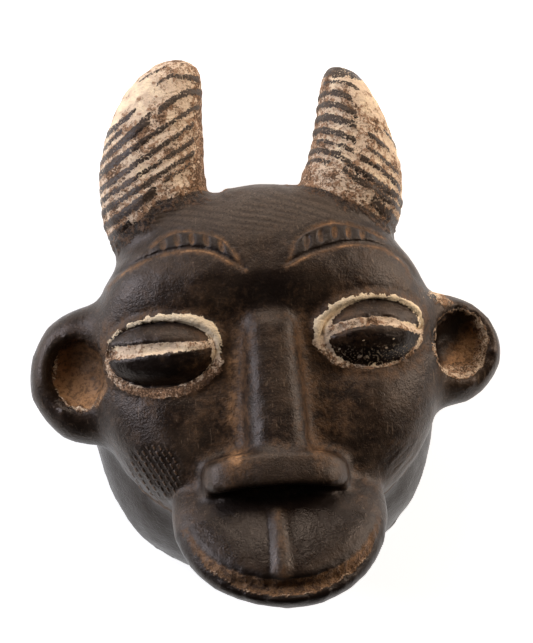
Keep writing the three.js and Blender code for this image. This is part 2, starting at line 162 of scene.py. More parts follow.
# Each brow: the carved line under it, the one over it, and the first of its row of five pits.
LEFT_BROW = {
    "lower": [
        (-52, 19), (-43.4, 26.8), (-36.9, 30.7), (-29.6, 33.2), (-21, 34.1), (-13.9, 32.6),
        (-6, 27.4),
    ],
    "upper": [(-32, 35.6), (-27, 38.6), (-22, 39.4), (-15, 38.2), (-10, 34.8), (-6, 27.4)],
    "first": -28.4,
}
RIGHT_BROW = {
    "lower": [
        (50.5, 16), (44, 22.4), (41.9, 26.3), (36.4, 30.9), (29.3, 33), (22.1, 32.9), (13.3, 31),
        (6.2, 28),
    ],
    "upper": [(36, 34), (29.5, 37.4), (22.4, 39.3), (15.2, 38.4), (9.2, 34.9), (6.2, 28)],
    "first": 12.6,
}
PIT = {"pitch": 4.1, "half": (0.95, 1.9), "count": 5}

# Each ear's bowl: how dark its upper half is painted, as a painted shadow under the rim, and
# how many pale flakes cling to its wall, which on its lower wall also paint the light there.
BOWLS = (
    {"middle": (-54.3, -0.8), "half": (8.0, 10.2), "dark": 0.25, "flakes": 0.0},
    {"middle": (57.0, 2.1), "half": (8.6, 10.2), "dark": 1.0, "flakes": 0.7},
)
# A patch of pale flakes above the right ear's bowl.
EAR_FLAKES = {"middle": (52.6, 15.6), "half": (4.2, 2.2), "turn": -25}
# The muzzle's flat oval, which leans down from the face by this many degrees.
MUZZLE = {"middle": (0.0, -43.4, 49.4), "half": (31.0, 33.2), "lean": 44.0}
# The mouth's groove lies between these heights over the muzzle's flat oval. Its crust stops short
# of the lower lip's edge, at this part of the oval's radius.
MOUTH = {"low": 0.6, "high": 5.9, "crust": 0.945}
PHILTRUM = {"x": -1.5, "top": -41.0, "foot": -59.2, "half": (1.7, 2.5), "rise": 0.7}
NOSE_BAR = {"x": -1.0, "half": 20.6, "top": -24.2, "drop": 3.4}

# The patch of short knife cuts on the left cheek, and the scratches on the right one.
HATCH = {"middle": (-34.4, -29.3), "half": (7.4, 7.8), "row": 1.55, "dash": 2.1, "slope": 119}
SCRATCHES = {"middle": (36.2, -29.0), "half": (5.5, 6.5), "row": 1.7, "slope": 38}

# Where the carving is a little fuller or leaner than the solid: place, reach and lift in mm.
SWELLS = (
    ((69.0, -1.5), 8.0, 1.0), ((64.0, 12.0), 5.0, -0.4), ((62.0, -12.0), 6.0, 0.4),
    ((-68.5, -6.0), 7.0, 0.5), ((-61.0, -17.5), 7.0, 0.7), ((-13.0, -71.0), 11.0, -1.0),
    ((-32.0, -56.0), 6.0, -0.6), ((36.5, -49.5), 6.0, -0.8), ((-12.0, 51.0), 5.0, -0.9),
)

# The open back: the oval of the hollow, and the width of one stroke of the gouge that cut it.
HOLLOW = {"middle": (0.0, -5.0), "half": (44.0, 49.0), "stroke": 6.5}

# The lowest height of each part of the front. What is cut or painted there stops at it, and so
# stays off the sides of the head.
LOWEST = {"ear": 12, "cheek": 25, "brow": 26, "eye": 36, "face": 40, "lip": 44, "bar": 50}

# Boxes that need a finer mesh: how far from the middle they start and end, their lower and upper
# end, and their lowest height. They hold the horns, brows, nose, nose bar and muzzle.
FAR = 999
FINE_BOXES = (
    (9, FAR, 34, FAR, 6), (0, 46, 25, FAR, 34), (0, 13, -28, 17, 42), (0, 24, -39, -22, 44),
    (0, FAR, -FAR, -34, 40),
)
# How often the mesh is relaxed to take the solid's flats off, and to find its hollows and ridges.
ROUNDING = 34
HOLLOWING = 24

# What the material reads at each point, and its value on plain handled wood. Pigment shows above 0.
NO_PIGMENT = -3.0
# soot_and_shade is near-black patina, and in places painted shade and painted shadow.
FINISHES = {
    "pigment": NO_PIGMENT, "crumbs": 0, "stain": 0.35, "ochre": 0, "crust": 0, "polish": 0.4,
    "soot_and_shade": 0, "dry": 0, "bare": 0,
}
# Random patterns in the finish: the size of their lumps in mm, how much detail and how rough.
CLOUDS = {
    "blotches": (16, 3.0, 0.6), "patchy": (4.5, 4.0, 0.65), "specks": (1.5, 4.0, 0.7),
    "grit": (0.65, 2.0, 0.6),
}


def linear(hex_colour):
    """The linear colour of an sRGB hex value."""
    parts = [int(hex_colour[i:i + 2], 16) / 255 for i in (1, 3, 5)]
    return [c / 12.92 if c <= 0.04045 else ((c + 0.055) / 1.055) ** 2.4 for c in parts] + [1.0]


class MaskSurfaceSettings(PropertyGroup):
    """How finely and how deeply the surface is carved."""

    coarse_step: FloatProperty(
        name="Coarse step", description="Mesh width on the plain and hidden sides",
        default=1.58 * MM, min=1.56 * MM, subtype="DISTANCE", unit="LENGTH",
    )
    unevenness: FloatProperty(
        name="Unevenness", description="Height of the slow waves that a knife leaves",
        default=0.25 * MM, subtype="DISTANCE", unit="LENGTH",
    )
    rib_height: FloatProperty(
        name="Rib height", description="How far a bare horn rib stands above the pigment beside it",
        default=0.4 * MM, subtype="DISTANCE", unit="LENGTH",
    )
    pigment_thickness: FloatProperty(
        name="Pigment thickness", description="Thickness of the caked pale pigment",
        default=0.16 * MM, subtype="DISTANCE", unit="LENGTH",
    )


def colour_setting(name, description, hex_colour):
    """A colour that a user can change."""
    return FloatVectorProperty(
        name=name, description=description, default=linear(hex_colour),
        size=4, subtype="COLOR", min=0, max=1,
    )


class MaskFinishSettings(PropertyGroup):
    """Colours of the finish."""

    patina: colour_setting("Patina", "Blackish-brown patina of the handled wood", "#221710")
    patina_brown: colour_setting(
        "Rubbed patina", "Browner places where the patina is thin", "#35281D"
    )
    crown: colour_setting(
        "Dry crown", "Greyer, drier wood on the crown between the horns", "#4E4237"
    )
    # Near-black patina, also used for painted shade and painted shadow, as under the nose bar.
    soot_and_shade: colour_setting(
        "Soot", "Near-black patina on the eyelids and in the shaded hollows", "#150D09"
    )
    dust: colour_setting("Dust", "Ochre dust in the recesses", "#674A30")
    earth: colour_setting(
        "Earth", "Lighter ochre earth caked in the ears and the mouth", "#B4865B"
    )
    kaolin: colour_setting("Kaolin", "Pale pigment on the horns and round the eyes", "#DEC3A6")
    kaolin_stain: colour_setting(
        "Stained kaolin", "Brown stains in the pale pigment", "#8A6344"
    )
    inside_wood: colour_setting(
        "Wood inside", "Plain unpolished wood of the hollow back", "#5A4330"
    )


class MaskStageSettings(PropertyGroup):
    """The floor and the light."""

    floor_colour: colour_setting("Floor", "Colour of the plain floor", "#F7F6F4")
    side_light: FloatProperty(
        name="Side light", description="Power of each large soft light beside the mask, in watts",
        default=6.2, min=0,
    )


def read(parts, name, width=3, kind=float):
    """A value of each of a mesh's points, edges or faces, one row each."""
    flat = np.empty(len(parts) * width, kind)
    parts.foreach_get(name, flat)
    return flat.reshape(-1, width)


def places(parts, name="co"):
    """Where a mesh's points or faces lie, in mm from the middle of the face."""
    return read(parts, name) / MM - FACE_MIDDLE


def put(mesh, points):
    mesh.vertices.foreach_set("co", ((points + FACE_MIDDLE) * MM).ravel())
    mesh.update()


def edges_of(mesh):
    return read(mesh.edges, "vertices", 2, int)


def relaxed(values, edges, rounds):
    """The values after each has moved, several times, halfway to the mean of its neighbours."""
    both = np.vstack([edges, edges[:, ::-1]])
    count = np.maximum(np.bincount(both[:, 0], minlength=len(values)), 1)
    for _ in range(rounds):
        total = [np.bincount(both[:, 0], part[both[:, 1]], len(values)) for part in values.T]
        values = 0.5 * values + 0.5 * (np.array(total) / count).T
    return values


def ramp(value, start, end):
    """A soft step: 0 at start, 1 at end."""
    t = np.clip((value - start) / (end - start), 0, 1)
    return t * t * (3 - 2 * t)


def hump(value, middle, half):
    """A soft hump: 1 at its middle, fading over about the given half width."""
    return np.exp(-((value - middle) / half) ** 2)


def clouds(points, size, turn):
    """Smooth random heights between about -1 and 1, in lumps of the given size in mm."""
    shift = Vector((11.3, 5.7, 8.1)) * turn
    return np.array([noise.fractal(Vector(p) / size + shift, 1.0, 2.0, 2) for p in points])


def clouds_where(points, chosen, size, turn):
    """The same random heights where they are wanted, and 0 elsewhere."""
    values = np.zeros(len(points))
    near = np.flatnonzero(chosen)
    values[near] = clouds(points[near], size, turn)
    return values


def spline(points, steps):
    """Points at even steps of a smooth curve through the given ones."""
    p = np.array(points, float)
    p = np.vstack([2 * p[0] - p[1], p, 2 * p[-1] - p[-2]])
    curve = []
    for t in np.linspace(0, len(points) - 1, steps):
        i = min(int(t), len(points) - 2)
        f = t - i
        a, b, c, d = p[i:i + 4]
        square, cube = 2 * a - 5 * b + 4 * c - d, 3 * b - a - 3 * c + d
        curve.append(0.5 * (2 * b + (c - a) * f + square * f ** 2 + cube * f ** 3))
    return np.array(curve)


def beside(points, curve):
    """How far each place is from a flat curve, positive on its upper side."""
    start, step = curve[:-1], np.diff(curve, axis=0)
    best = np.full(len(points), np.inf)
    side = np.ones(len(points))
    for a, d in zip(start, step):
        t = np.clip(((points[:, :2] - a) @ d) / (d @ d), 0, 1)
        away = points[:, :2] - a - t[:, None] * d
        length = np.hypot(away[:, 0], away[:, 1])
        near = length < best
        best = np.where(near, length, best)
        up = np.sign(away[:, 1] * abs(d[0]) - away[:, 0] * d[1] * np.sign(d[0]))
        side = np.where(near, np.where(up == 0, 1, up), side)
    return best * side


def oval(points, middle, half, turn=0.0, full=2.0):
    """Each place as radius (1 on the oval's edge), angle, and its position across and along."""
    c, s = math.cos(math.radians(turn)), math.sin(math.radians(turn))
    dx, dy = points[:, 0] - middle[0], points[:, 1] - middle[1]
    u, v = (dx * c + dy * s) / half[0], (dy * c - dx * s) / half[1]
    radius = (np.abs(u) ** full + np.abs(v) ** full) ** (1 / full)
    return radius, np.arctan2(v, u), u, v


def within(points, shape, margin):
    """True inside the oval of an eye, a bowl or a patch of cuts, widened by a margin in mm."""
    return oval(points, shape["middle"], [size + margin for size in shape["half"]])[0] < 1


def on_horn(points, horn):
    """Where each place lies on a horn: root 0 to tip 1, outer side 0 to inner side 1."""
    steps = 90
    outer, inner = spline(horn["outer"], steps), spline(horn["inner"], steps)
    lean = math.tan(math.radians(horn["lean"]))
    along = np.zeros(len(points))
    for _ in range(2):
        depth = points[:, 2] - np.interp(along, (0, 1), HORN_MIDDLE_Z)
        flat = points[:, :2] - np.outer(depth * lean, (0, 1))
        height = []
        for a, b in zip(outer, inner):
            d = (b - a) * horn["side"]
            height.append((d[0] * (flat[:, 1] - a[1]) - d[1] * (flat[:, 0] - a[0])) / np.hypot(*d))
        height = np.array(height)
        k = np.clip((height > 0).sum(0) - 1, 0, steps - 2)
        above, below = height[k, np.arange(len(points))], height[k + 1, np.arange(len(points))]
        along = (k + np.clip(above / np.maximum(above - below, 1e-6), 0, 1)) / (steps - 1)
    i = np.clip((along * (steps - 1)).astype(int), 0, steps - 1)
    span = inner[i] - outer[i]
    across = ((flat - outer[i]) * span).sum(1) / (span ** 2).sum(1)
    return along, across, np.hypot(span[:, 0], span[:, 1])


def around_eye(points, eye):
    """How far each place is inside the pigment round an eye, inside the slit, and outside the lids,
    all in mm, and its height on the lids from -1 to 1.
    """
    radius, angle, u, v = oval(points, eye["middle"], eye["half"], eye["turn"], LID_FULLNESS)
    mean = math.sqrt(eye["half"][0] * eye["half"][1])
    outside = (radius - 1) * mean
    turns = np.arange(9) * (math.pi / 4)
    way = np.mod(angle, 2 * math.pi)
    reach, cover = [np.interp(way, turns, eye[key] + eye[key][:1]) for key in ("ring", "cover")]
    ring = np.minimum(outside + cover, reach - outside)
    left, centre, right = eye["slit"]
    width = centre + (right - left) * u / 2 + ((left + right) / 2 - centre) * u * u
    middle = eye["rise"] + eye["arch"] * (1 - 2 * u * u)
    slit = np.minimum(width / 2 - np.abs(v * eye["half"][1] - middle), (1.06 - np.abs(u)) * mean)
    return ring, slit, outside, v


def brow_lines(points, brow, steps=40):
    """How far each place is above a brow's lower line and above its upper one."""
    return [beside(points, spline(brow[key], steps)) for key in ("lower", "upper")]


def muzzle_place(points):
    """Each place on the muzzle: along and above its flat oval, and its share of the radius."""
    a = math.radians(MUZZLE["lean"])
    away = points - MUZZLE["middle"]
    y = away[:, 1] * math.cos(a) - away[:, 2] * math.sin(a)
    z = away[:, 1] * math.sin(a) + away[:, 2] * math.cos(a)
    radius = np.hypot(away[:, 0] / MUZZLE["half"][0], y / MUZZLE["half"][1])
    return y, z, radius


def choose_faces(mesh, test):
    """Selects the faces whose middles pass a test."""
    for parts in (mesh.vertices, mesh.edges):
        parts.foreach_set("select", np.zeros(len(parts), bool))
    mesh.polygons.foreach_set("select", test(places(mesh.polygons, "center")))
    bpy.ops.object.mode_set(mode="EDIT")
    bpy.ops.mesh.select_mode(type="FACE")


def apply(piece, kind, **settings):
    """Adds a modifier with its settings and applies it."""
    modifier = piece.modifiers.new(kind.title(), kind)
    for key, value in settings.items():
        setattr(modifier, key, value)
    bpy.ops.object.modifier_apply(modifier=modifier.name)


def copy_of_solid():
    """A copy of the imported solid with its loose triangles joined, and nothing else selected."""
    bpy.ops.object.select_all(action="DESELECT")
    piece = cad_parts["mask"].copy()
    piece.data = piece.data.copy()
    piece.name = "carved_mask"
    piece.data.name = "carved_mask"
    piece.parent = None
    for key in list(piece.keys()):
        del piece[key]
    bpy.context.scene.collection.objects.link(piece)
    bpy.context.view_layer.objects.active = piece
    piece.select_set(True)
    bpy.ops.object.mode_set(mode="EDIT")
    bpy.ops.mesh.select_all(action="SELECT")
    bpy.ops.mesh.remove_doubles(threshold=0.01 * MM)
    bpy.ops.object.mode_set(mode="OBJECT")
    return piece


def detailed(points):
    """True where the carving needs a finer mesh: the boxes, the eyes, the ears and the cuts."""
    x, y, z = points.T
    fine = finest(points)
    for start, end, low, high, floor in FINE_BOXES:
        fine |= (np.abs(x) >= start) & (np.abs(x) < end) & (y > low) & (y < high) & (z > floor)
    for eye in (LEFT_EYE, RIGHT_EYE):
        fine |= within(points, eye, 5) & (z > 34)
    for bowl in BOWLS:
        fine |= within(points, bowl, 2.5) & (z > 15)
    return fine


def finest(points):
    """True on the cheek cuts and the brows, whose marks are a millimetre apart."""
    x, _, z = points.T
    fine = np.zeros(len(points), bool)
    for patch in (HATCH, SCRATCHES):
        fine |= within(points, patch, 1.5) & (z > LOWEST["cheek"])
    for brow in (LEFT_BROW, RIGHT_BROW):
        low, high = brow_lines(points, brow, 16)
        fine |= (low > -1.8) & (high < 1.4) & (z > 34) & (np.abs(x) < 37)
    return fine


def hatched(points):
    """True on the left cheek's cuts, each half a millimetre wide."""
    return within(points, HATCH, 0.8) & (points[:, 2] > LOWEST["cheek"])


def crisp(points):
    """How far each place keeps the solid's exact edges: 1 on carved lines, 0 on rounded parts."""
    x, y, z = points.T
    keep = 0.8 * ramp(z, 4, 2)
    for eye in (LEFT_EYE, RIGHT_EYE):
        _, slit, outside, _ = around_eye(points, eye)
        lids = ramp(np.abs(outside), 2.6, 0.9)
        edge = np.maximum(lids, (outside < 0) * ramp(np.abs(slit), 2.2, 0.7))
        keep = np.maximum(keep, edge * (z > LOWEST["eye"]))
    for brow in (LEFT_BROW, RIGHT_BROW):
        low, high = brow_lines(points, brow, 16)
        edge = ramp(np.minimum(np.abs(low), np.abs(high)), 2.6, 1.0) * ramp(np.abs(x), 42, 34)
        pits = (low > -0.5) & (high < 0.5) & (np.abs(x) < 33)
        edge = np.maximum(0.7 * edge, 0.4 * pits)
        keep = np.maximum(keep, edge * (z > LOWEST["brow"]) * (y > 14))
    forward, above, radius = muzzle_place(points)
    mouth = (forward < -3) * (radius > 0.7) * (radius < 1.05)
    mouth = mouth * ramp(above, -0.8, 0.6) * ramp(above, 7.4, 6.2)
    bar = ramp(np.abs(x - NOSE_BAR["x"]), 22, 16) * ramp(y, -24, -27) * ramp(y, -41, -38)
    bar *= ramp(z, 56, 61)
    return np.maximum(keep, np.maximum(0.4 * mouth, 0.6 * bar))


def mesh_for_carving(piece, step):
    """Gives the solid an even mesh, finer in the detail, and takes the flats off its curves."""
    solid = piece.copy()
    solid.data = piece.data.copy()
    bpy.context.scene.collection.objects.link(solid)
    apply(piece, "REMESH", mode="VOXEL", voxel_size=step, use_smooth_shade=True)
    apply(piece, "SMOOTH", factor=0.5, iterations=2)
    for test in (detailed, finest, hatched):
        choose_faces(piece.data, test)
        bpy.ops.mesh.subdivide(number_cuts=1, smoothness=0)
        bpy.ops.object.mode_set(mode="OBJECT")
    apply(piece, "SHRINKWRAP", target=solid, wrap_method="NEAREST_SURFACEPOINT")
    bpy.data.objects.remove(solid)
    apply(piece, "SMOOTH", factor=0.5, iterations=2)
    points, edges = places(piece.data.vertices), edges_of(piece.data)
    rounded = relaxed(points, edges, ROUNDING)
    # What the first pass took off is given back, itself smoothed, so that nothing shrinks.
    rounded += relaxed(points - rounded, edges, ROUNDING)
    put(piece.data, points + (rounded - points) * (1 - crisp(points))[:, None])


class Skin:
    """The carving's points, with how far each is lifted and how every finish lies there."""

    def __init__(self, mesh):
        self.points, self.normals = places(mesh.vertices), read(mesh.vertex_normals, "vector")
        self.x, self.y, self.z = self.points.T
        self.front = ramp(self.normals[:, 2], -0.2, 0.25)
        self.slow, self.quick = clouds(self.points, 9, 1), clouds(self.points, 2.2, 2)
        self.lift = np.zeros(len(self.points))
        for name, plain in FINISHES.items():
            setattr(self, name, np.full(len(self.points), plain, float))

    def chalk(self, here, amount):
        self.pigment = np.where(here, np.maximum(self.pigment, amount), self.pigment)

    def dust(self, amount):
        self.ochre = np.maximum(self.ochre, amount)

    def blacken(self, amount):
        self.soot_and_shade = np.maximum(self.soot_and_shade, amount)

    def cake(self, amount):
        self.crust = np.maximum(self.crust, amount)


def bar_depth(ribs, across, span, bars):
    """How many mm inside a bare bar each place is; negative beside the bars."""
    depth = np.full(len(ribs), -9.0)
    for start, middle, end, first, last, wide, narrow in bars:
        t = (across - first) / (last - first)
        s = np.clip(t, 0, 1)
        course = start + (4 * middle - 3 * start - end) * s + 2 * (start - 2 * middle + end) * s * s
        beside_it = (wide + (narrow - wide) * s) / 2 - np.abs(ribs - course) * RIB_PITCH
        before_end = np.where(first <= 0, 1 - t, np.where(last >= 1, t, np.minimum(t, 1 - t)))
        depth = np.maximum(depth, np.minimum(beside_it, before_end * (last - first) * span))
    return depth


def carve_horn(skin, horn, settings):
    """The ribs of one horn. Pale pigment fills its grooves, and bare ribs show the dark wood."""
    near = np.flatnonzero((skin.y > 30) & (skin.x * horn["side"] < -8))
    points, slow, quick = skin.points[near], skin.slow[near], skin.quick[near]
    along, across, span = on_horn(points, horn)
    ribs = along * horn["ribs"]
    x, y, z = points.T
    above = y - np.interp(x, *np.array(horn["foot"]).T) + 0.5 * slow + 0.6 * quick
    wobble = 0.3 * clouds(points, 3.2, 7) + 0.25 * clouds(points, 1.5, 8)
    bar = bar_depth(ribs + 0.08 * slow, across, span, horn["bars"])
    pigment = np.minimum(-bar - 0.15 + wobble, above)
    if horn is RIGHT_HORN:
        tip = BARE_TIP["y"] + (x - BARE_TIP["x"]) * BARE_TIP["slope"] - y
        pigment = np.minimum(pigment, tip + 0.5 * quick)
    worn = ramp(z, 12, 6) * ramp(quick + 0.6 * slow, -0.2, 0.5)
    pigment = np.clip(pigment - 2 * worn, -1.1, 1.5)
    skin.pigment[near] = np.where(above > -1.2, pigment, NO_PIGMENT)
    skin.crumbs[near] = 0.8 * ramp(above, -2, 0.5)
    rise = ramp(bar, -0.7, 0.25)
    groove = 0.07 * np.cos(2 * math.pi * ribs)
    # The pigment makes the horns thicker, most towards the tips.
    fuller = 0.3 + 0.75 * ramp(along, 0.2, 0.9)
    if horn is RIGHT_HORN:
        fuller -= 1.1 * ramp(along, 0.85, 1.0)
    lift = settings.rib_height / MM * (rise - 0.4) - groove + fuller
    skin.lift[near] += ramp(above, 0, 2) * lift
    # Dark crust lies below the foot of the pigment, and runs out towards the crown.
    depth = horn["crust"] + 1.6 * slow
    crust = ramp(above, 0.6, -0.4) * ramp(above, -depth - 2, -depth + 1) * (z > 8)
    crust *= ramp(np.abs(x), 11, 18)
    skin.crust[near] = np.maximum(skin.crust[near], 0.8 * crust)
    skin.lift[near] += crust * 0.3 * (0.5 + quick)
    shade = 0.42 + 0.3 * slow + 0.4 * ramp(across, 0.8, 0.98) + 0.3 * ramp(above, 8, 0)
    pale = ramp(across, 0.62, 0.4) if horn is LEFT_HORN else hump(across, 0.42, 0.22)
    shade -= 0.24 * pale * ramp(along, 0.5, 0.64)
    shade += 0.4 * ramp(clouds(points, 4.5, 12), 0.1, 0.5) + 0.3 * ramp(along, 0.86, 0.97)
    skin.stain[near] = np.clip(shade + 0.2 * quick, 0, 1)


def paint_eye(skin, eye):
    """Pale pigment in the slit and round the lids, whiter above as a painted highlight, and dark
    polished lids.
    """
    ring, slit, outside, v = around_eye(skin.points, eye)
    here = (outside < 8) & (skin.z > LOWEST["eye"]) & (skin.front > 0.2)
    ragged = 0.55 * clouds_where(skin.points, here, 2.6, 9)
    ragged += 0.3 * clouds_where(skin.points, here, 1.2, 10)
    fill = (0.7 + 1.1 * ramp(v, -0.3, 0.3)) * hump(outside, 1.2, 2.6) * ramp(ring, -2.2, 0.8)
    ring = ring + np.where(outside > 0.6, 1.2, 0.2) * ragged
    # The edges of the pigment are cleaner here than on the horns.
    skin.chalk(here, 2.4 * np.maximum(ring, slit + 0.35 * ragged))
    low = ramp(-v, -0.05, 0.75) * (outside > -0.6)
    tan = (slit > -0.3) * (0.2 + 0.45 * ramp(skin.slow + 0.5 * skin.quick, -0.5, 0.5))
    # Towards the top the pigment is painted whiter, a painted highlight where light falls on it.
    white = 0.8 * ramp(v, -0.3, 0.4) * (outside > -1.4)
    skin.stain = np.where(here, np.maximum(eye["stain"] * low, tan) - white, skin.stain)
    around = 0.68 * ramp(outside + 1.5 * skin.slow, 9, 0.5) * ramp(outside, -0.2, 0.4)
    skin.dust(np.where(here, around, 0))
    lid = here * ramp(outside, 0.3, -0.3)
    skin.polish = skin.polish * (1 - lid) + lid * (0.9 - 0.6 * (v > 0))
    skin.blacken(lid * np.where(v > 0, 0.2, 1.0))
    # The caked pigment fills the groove round the lids, and stands a little proud in the slit.
    skin.lift += here * (fill + 0.3 * ramp(slit, -0.2, 0.6))
    if eye is RIGHT_EYE:
        # Pigment has flaked onto its lower lid.
        lower = ramp(v, -0.2, -0.7)
        skin.crumbs = np.maximum(skin.crumbs, 0.5 * lid * lower)
        flecks = 4 * (skin.quick + 0.4 * ragged + 0.35 * lower - 0.85) - 3 * (v > 0)
        skin.chalk(here & (outside < 0), flecks)


def cut_brow(skin, brow):
    """The two lines of one brow and the pits between them, with ochre dust in all of them."""
    low, high = brow_lines(skin.points, brow)
    sideways = np.abs(skin.x)
    here = (skin.z > LOWEST["brow"]) & (skin.y > 14) & (sideways < 52)
    upper = here & (sideways < 37)
    skin.dust(0.8 * hump(low, -1.0, 0.85) * here * ramp(sideways, 54, 38))
    skin.dust(0.74 * hump(high, -0.4, 0.9) * upper)
    skin.blacken(0.8 * hump(low, 0.35, 0.4) * here)
    skin.blacken(0.5 * hump(high, 1.1, 0.5) * upper)
    skin.lift -= 0.3 * hump(low, 0.2, 0.45) * here
    between = here * ramp(low, 0.2, 0.8) * ramp(high, -0.6, -1.2)
    number = np.clip(np.round((skin.x - brow["first"]) / PIT["pitch"]), 0, PIT["count"] - 1)
    across = skin.x - brow["first"] - number * PIT["pitch"]
    half = np.minimum(PIT["half"][1], np.maximum(low - high, 1.2) / 2 - 0.5)
    pit = between * ramp(np.hypot(across / PIT["half"][0], (low + high) / 2 / half), 1.25, 0.8)
    skin.dust(0.7 * pit)
    row = between * ramp(np.abs(across), 4.2, 3.0)
    skin.blacken(0.75 * row * (1 - pit))
    skin.lift += 0.3 * row * (1 - pit)


def rows(points, patch):
    """Where each place lies over the rows of a patch of cuts, and along them, in mm."""
    slope = math.radians(patch["slope"])
    c, s = math.cos(slope), math.sin(slope)
    dx, dy = points[:, 0] - patch["middle"][0], points[:, 1] - patch["middle"][1]
    return dx * s - dy * c, dx * c + dy * s


def cut_cheeks(skin):
    """Short knife cuts in rows on the left cheek, and a few long scratches on the right one."""
    here = skin.z > LOWEST["cheek"]
    over, along = rows(skin.points, HATCH)
    over = over / HATCH["row"] + 0.12 * skin.slow
    # Every second row starts half a dash later.
    dash = along / HATCH["dash"] + 0.5 * np.mod(np.round(over), 2)
    radius = oval(skin.points, HATCH["middle"], HATCH["half"], full=2.6)[0]
    patch = here * ramp(radius + 0.15 * skin.slow, 1.08, 0.85)
    cut = ramp(np.cos(2 * math.pi * over), 0.1, 0.9) * ramp(np.cos(2 * math.pi * dash), -0.9, -0.3)
    skin.lift += patch * 0.2 * (cut - 0.5)
    # Light tan dust on the raised cuts also paints their highlight, and painted shade darkens the
    # ground between them.
    skin.blacken(0.4 * patch * (1 - cut))
    skin.dust(0.62 * patch * cut)

    over, _ = rows(skin.points, SCRATCHES)
    radius = oval(skin.points, SCRATCHES["middle"], SCRATCHES["half"])[0]
    patch = here * ramp(radius + 0.5 * skin.slow, 1.0, 0.5)
    cut = patch * ramp(np.cos(2 * math.pi * over / SCRATCHES["row"]), 0.55, 0.98)
    skin.lift -= 0.08 * cut
    skin.dust(0.42 * cut)


def dust_bowl(skin, bowl):
    """Earth caked in one ear's bowl, with a pale crumbling edge, a painted shadow over its upper
    half, and pale flakes on its lower wall that also paint the light there.
    """
    radius, _, u, v = oval(skin.points, bowl["middle"], bowl["half"])
    here = (skin.z > LOWEST["ear"]) & (skin.front > 0.1)
    inside = ramp(radius + 0.07 * skin.quick, 1.1, 0.95) * here
    # The upper half, under the rim, gets less dust and is darkened as a painted shadow.
    upper = ramp(v - u * np.sign(bowl["middle"][0]), -0.3, 0.6)
    skin.dust(inside * (0.98 - 0.85 * bowl["dark"] * upper))
    skin.blacken(bowl["dark"] * inside * upper)
    edge = hump(radius + 0.05 * skin.quick, 0.98, 0.12) * here
    skin.cake(0.7 * edge * ramp(skin.slow + 0.5 * skin.quick, -0.6, 0.1))
    # Pale flakes on the lower wall: partly real, partly painting the light that falls there.
    wall = 1.7 * bowl["flakes"] * ramp(radius, 0.3, 0.85) * ramp(radius, 1.08, 1.0) * (1 - upper)
    on_edge = 2.6 * edge * (1 - 0.3 * upper) + bowl["flakes"] * edge
    flakes = np.maximum(on_edge, 1.6 * wall + (wall > 0.1)) + 0.55 * skin.quick - 2.4
    skin.chalk(here, flakes)
    skin.stain = np.where(here & (radius < 1.5), 0.8 - 0.3 * edge, skin.stain)
    if bowl["flakes"]:
        radius = oval(skin.points, EAR_FLAKES["middle"], EAR_FLAKES["half"], EAR_FLAKES["turn"])[0]
        skin.chalk(here, 1.3 * (0.8 - radius) + 1.2 * skin.quick)
    uneven = clouds_where(skin.points, inside > 0, 3.6, 5)
    skin.lift += 0.35 * inside * uneven + 0.35 * edge * skin.quick


def paint_mouth(skin):
    """Crust and flecks in the mouth's groove, near-black below the upper lip's plate with painted
    shade on its underside, and painted shade over the middle of the rubbed plate.
    """
    forward, above, radius = muzzle_place(skin.points)
    lip = (forward < -7) & (skin.z > LOWEST["face"])
    ragged = 0.012 * skin.quick + 0.012 * skin.slow
    low, high = MOUTH["low"], MOUTH["high"]
    gap = lip * (radius + ragged < MOUTH["crust"]) * (radius > 0.6)
    gap = gap * ramp(above, low, low + 0.6) * ramp(above, high, high - 0.8)
    # The crust is thick in the middle and runs out in a thin line towards the corners.
    thick = ramp(np.abs(skin.x) + 4 * skin.slow + 2 * skin.quick, 33, 18)
    skin.dust(gap * (0.35 + 0.65 * thick))
    skin.cake(0.5 * gap * thick)
    skin.lift += 0.3 * gap * skin.quick
    rim = gap * ramp(radius, MOUTH["crust"] - 0.06, MOUTH["crust"]) * ramp(np.abs(skin.x), 30, 20)
    skin.chalk(lip, 2.9 * rim - 2.5 + 0.9 * skin.quick)
    skin.stain = np.where(gap > 0.3, 0.6, skin.stain)
    # Below the plate the lip is near-black: the lower lip's dark edge, and painted shade where the
    # upper lip turns under.
    skin.blacken(0.9 * lip * ramp(above, 7.6, 6.0) * (radius > 0.6) * (1 - 0.9 * gap * thick))
    plate = lip * ramp(above, 6.0, 7.5) * (skin.z > LOWEST["lip"])
    # Painted shade darkens the middle of the plate, less towards its edge.
    skin.blacken(0.7 * plate * ramp(radius, 1.02, 0.6))
    skin.polish = np.maximum(skin.polish, plate)


def cut_philtrum(skin):
    """The dusty ridge between nose bar and lip, widening downwards, with a cut on its left darkened
    as painted shade.
    """
    x, top, foot = PHILTRUM["x"], PHILTRUM["top"], PHILTRUM["foot"]
    narrow, wide = PHILTRUM["half"]
    half = narrow + (wide - narrow) * np.clip((top - skin.y) / (top - foot), 0, 1) ** 2
    here = ramp(skin.y, top + 1.5, top - 1) * ramp(skin.y, foot - 1.8, foot) * (skin.z > 56)
    ridge = hump(skin.x, x, half) * here
    skin.lift += PHILTRUM["rise"] * ridge
    skin.lift -= 0.3 * hump(skin.x, x - half - 1.2, 0.9) * here
    skin.soot_and_shade *= 1 - 0.9 * ridge
    skin.dust(0.36 * ridge)
    skin.dry = np.maximum(skin.dry, 0.5 * ridge)
    # Painted shade darkens the cut on the ridge's left side.
    skin.blacken(0.7 * here * hump(skin.x, x - half - 1.4, 1.0))


